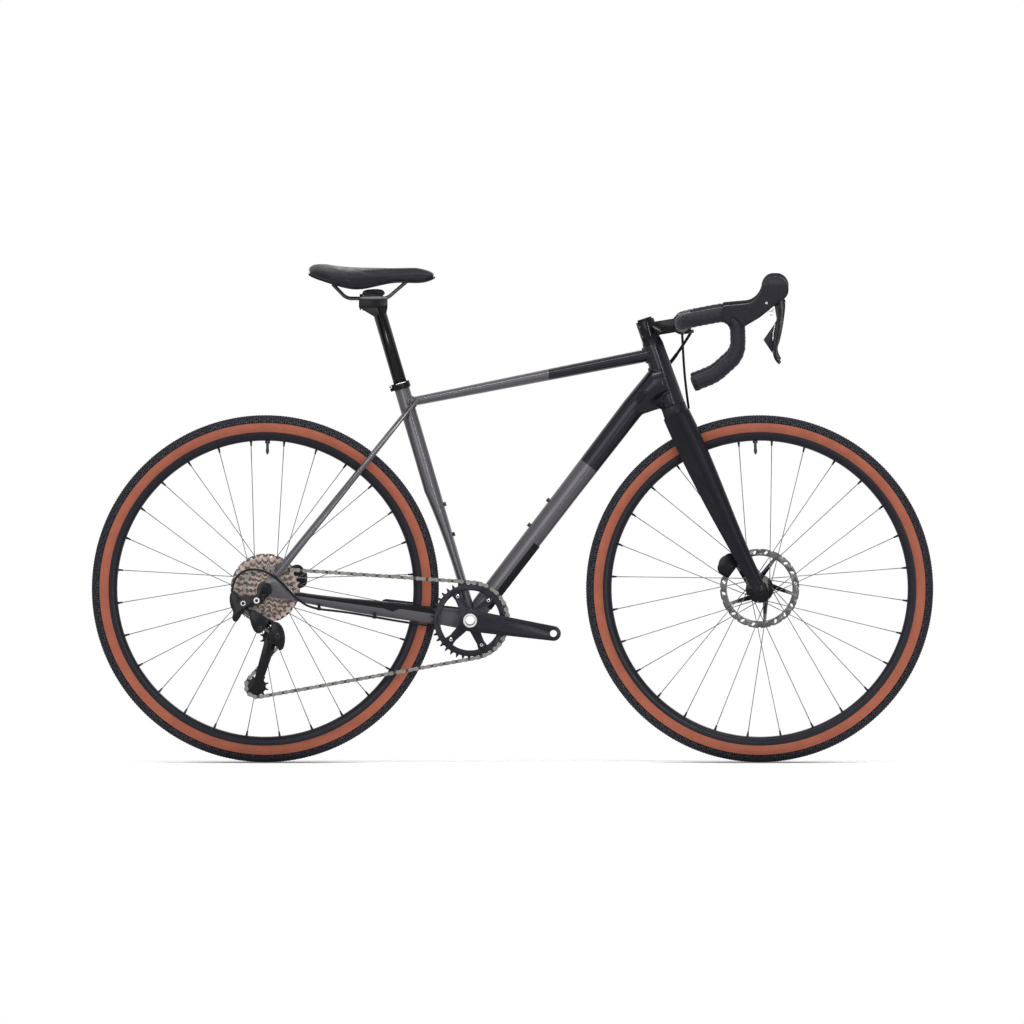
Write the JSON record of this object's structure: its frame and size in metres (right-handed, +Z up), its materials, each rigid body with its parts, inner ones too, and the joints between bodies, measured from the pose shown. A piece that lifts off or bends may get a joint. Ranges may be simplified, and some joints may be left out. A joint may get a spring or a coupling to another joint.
{
  "type": "gravel bike",
  "caption": "Gravel bike with drop handlebar, disc brakes, tan-wall tyres and a single-ring chain drive; wheels, steering, cranks, derailleur, levers and seatpost move.",
  "frame": {"origin": "on the ground, midway between the two wheels' contact points, in the bike's middle plane", "axes": "+X forward, +Y to the rider's left, +Z up; the chain is on -Y"},
  "size_m": [1.6959, 0.4946, 1.0047],
  "materials": {
    "frame_black": "satin black paint",
    "frame_grey": "satin gunmetal grey paint",
    "fork_black": "satin black paint",
    "black_alloy": "black anodised",
    "steel": "plain steel",
    "rail_steel": "black rails",
    "tyre": "black tread with tan sidewalls",
    "rubber": "matt rubber",
    "tape": "cushioned bar tape",
    "saddle_skin": "padded synthetic cover",
    "plastic": "black plastic"
  },
  "bodies": {
    "frame": {"head_tube": "frame_black", "top_tube": "frame_grey", "down_tube": "frame_grey", "seat_tube": "frame_grey", "bottom_bracket_shell": "frame_grey", "chainstays": "frame_grey", "seatstays": "frame_grey", "rear_dropouts": "frame_grey", "derailleur_hanger": "black_alloy", "seat_clamp": "black_alloy", "bottom_bracket_cups": "black_alloy", "headset_bearings": "steel", "rear_thru_axle": "black_alloy", "rear_brake_caliper": "black_alloy", "rear_shift_housing": "plastic", "frame_covers": "rubber", "bottle_bolts": "steel", "derailleur_b_knuckle": "black_alloy", "chain": "steel"},
    "saddle_and_post": {"seatpost": "black_alloy", "saddle_clamp": "black_alloy", "saddle_rails": "rail_steel", "saddle_shell": "plastic", "saddle_cover": "saddle_skin"},
    "front_end": {"fork_crown": "fork_black", "fork_legs": "fork_black", "stem": "black_alloy", "stem_faceplate": "black_alloy", "stem_bolts": "steel", "headset_spacers": "black_alloy", "handlebar": "black_alloy", "bar_tape": "tape", "lever_hoods": "rubber", "front_brake_caliper": "black_alloy", "front_thru_axle": "black_alloy", "front_brake_hose": "plastic", "bar_cables": "plastic"},
    "brake_lever_right": {"brake_lever_right": "black_alloy"},
    "brake_lever_left": {"brake_lever_left": "black_alloy"},
    "shift_paddle": {"shift_paddle": "plastic"},
    "front_wheel": {"front_tyre": "tyre", "front_rim": "black_alloy", "front_spokes": "steel", "front_hub": "black_alloy", "front_rotor": "steel"},
    "rear_wheel": {"rear_tyre": "tyre", "rear_rim": "black_alloy", "rear_spokes": "steel", "rear_hub": "black_alloy", "rear_rotor": "steel"},
    "cassette": {"cassette": "steel"},
    "crankset": {"crank_arm_right": "black_alloy", "crank_arm_left": "black_alloy", "chainring": "black_alloy"},
    "derailleur_outer_link": {"derailleur_outer_link": "black_alloy"},
    "derailleur_inner_link": {"derailleur_inner_link": "black_alloy"},
    "derailleur_p_knuckle": {"derailleur_p_knuckle": "black_alloy"},
    "derailleur_cage": {"derailleur_cage": "black_alloy"},
    "guide_pulley": {"guide_pulley": "plastic"},
    "tension_pulley": {"tension_pulley": "plastic"}
  },
  "joints": [
    {"name": "steering", "type": "hinge", "parent": "frame", "child": "front_end", "pos_m": [0.32366, 0, 0.71979], "axis": [-0.3173, 0, 0.9483], "range_deg": [-60, 60], "deforming": ["bar_cables"]},
    {"name": "front_wheel_spin", "type": "hinge", "parent": "front_end", "child": "front_wheel", "pos_m": [0.498, 0, 0.35], "axis": [0, 1, 0], "continuous": true},
    {"name": "rear_wheel_spin", "type": "hinge", "parent": "frame", "child": "rear_wheel", "pos_m": [-0.498, 0, 0.35], "axis": [0, 1, 0], "continuous": true},
    {"name": "crank_spin", "type": "hinge", "parent": "frame", "child": "crankset", "pos_m": [-0.08548, 0, 0.287], "axis": [0, 1, 0], "continuous": true, "deforming": ["chain"]},
    {"name": "cassette_spin", "type": "hinge", "parent": "frame", "child": "cassette", "pos_m": [-0.498, 0, 0.35], "axis": [0, 1, 0], "continuous": true, "deforming": ["chain"]},
    {"name": "guide_pulley_spin", "type": "hinge", "parent": "derailleur_cage", "child": "guide_pulley", "pos_m": [-0.485, -0.046, 0.253], "axis": [0, 1, 0], "continuous": true, "deforming": ["chain"]},
    {"name": "tension_pulley_spin", "type": "hinge", "parent": "derailleur_cage", "child": "tension_pulley", "pos_m": [-0.51517, -0.046, 0.15452], "axis": [0, 1, 0], "continuous": true, "deforming": ["chain"]},
    {"name": "derailleur_shift", "type": "hinge", "parent": "frame", "child": "derailleur_outer_link", "pos_m": [-0.543, -0.095, 0.314], "axis": [0.5341, 0.2891, 0.7944], "range_deg": [-20, 19.5], "deforming": ["chain"]},
    {"name": "derailleur_inner_swing", "type": "hinge", "parent": "frame", "child": "derailleur_inner_link", "pos_m": [-0.543, -0.08372, 0.3099], "axis": [0.5341, 0.2891, 0.7944], "range_deg": [-20, 19.5], "deforming": ["chain"]},
    {"name": "derailleur_knuckle_swing", "type": "hinge", "parent": "derailleur_outer_link", "child": "derailleur_p_knuckle", "pos_m": [-0.495, -0.093, 0.281], "axis": [0.5341, 0.2891, 0.7944], "range_deg": [-19.5, 20], "deforming": ["chain"]},
    {"name": "cage_tension", "type": "hinge", "parent": "derailleur_p_knuckle", "child": "derailleur_cage", "pos_m": [-0.485, -0.046, 0.253], "axis": [0, 1, 0], "range_deg": [-30, 30], "stiffness_Nm_per_rad": 0.8, "deforming": ["chain"]},
    {"name": "brake_right", "type": "hinge", "parent": "front_end", "child": "brake_lever_right", "pos_m": [0.52933, -0.213, 0.93947], "axis": [0, 1, 0], "range_deg": [0, 22], "stiffness_Nm_per_rad": 1.5, "springref_deg": -11.46},
    {"name": "brake_left", "type": "hinge", "parent": "front_end", "child": "brake_lever_left", "pos_m": [0.52933, 0.213, 0.93947], "axis": [0, 1, 0], "range_deg": [0, 22], "stiffness_Nm_per_rad": 1.5, "springref_deg": -11.46},
    {"name": "shift_push", "type": "hinge", "parent": "brake_lever_right", "child": "shift_paddle", "pos_m": [0.53647, -0.2059, 0.90475], "axis": [-0.1292, 0, -0.9916], "range_deg": [0, 20], "stiffness_Nm_per_rad": 0.3, "springref_deg": -11.46},
    {"name": "seatpost_height", "type": "slide", "parent": "frame", "child": "saddle_and_post", "axis": [-0.2823, 0, 0.9593], "range_m": [-0.06, 0.04]}
  ],
  "couplings": [
    {"joint": "cassette_spin", "follows": "crank_spin", "ratio": 1.8095},
    {"joint": "guide_pulley_spin", "follows": "crank_spin", "ratio": -3.4545},
    {"joint": "tension_pulley_spin", "follows": "crank_spin", "ratio": 3.4545},
    {"joint": "derailleur_inner_swing", "follows": "derailleur_shift", "ratio": 1},
    {"joint": "derailleur_knuckle_swing", "follows": "derailleur_shift", "ratio": -1}
  ]
}
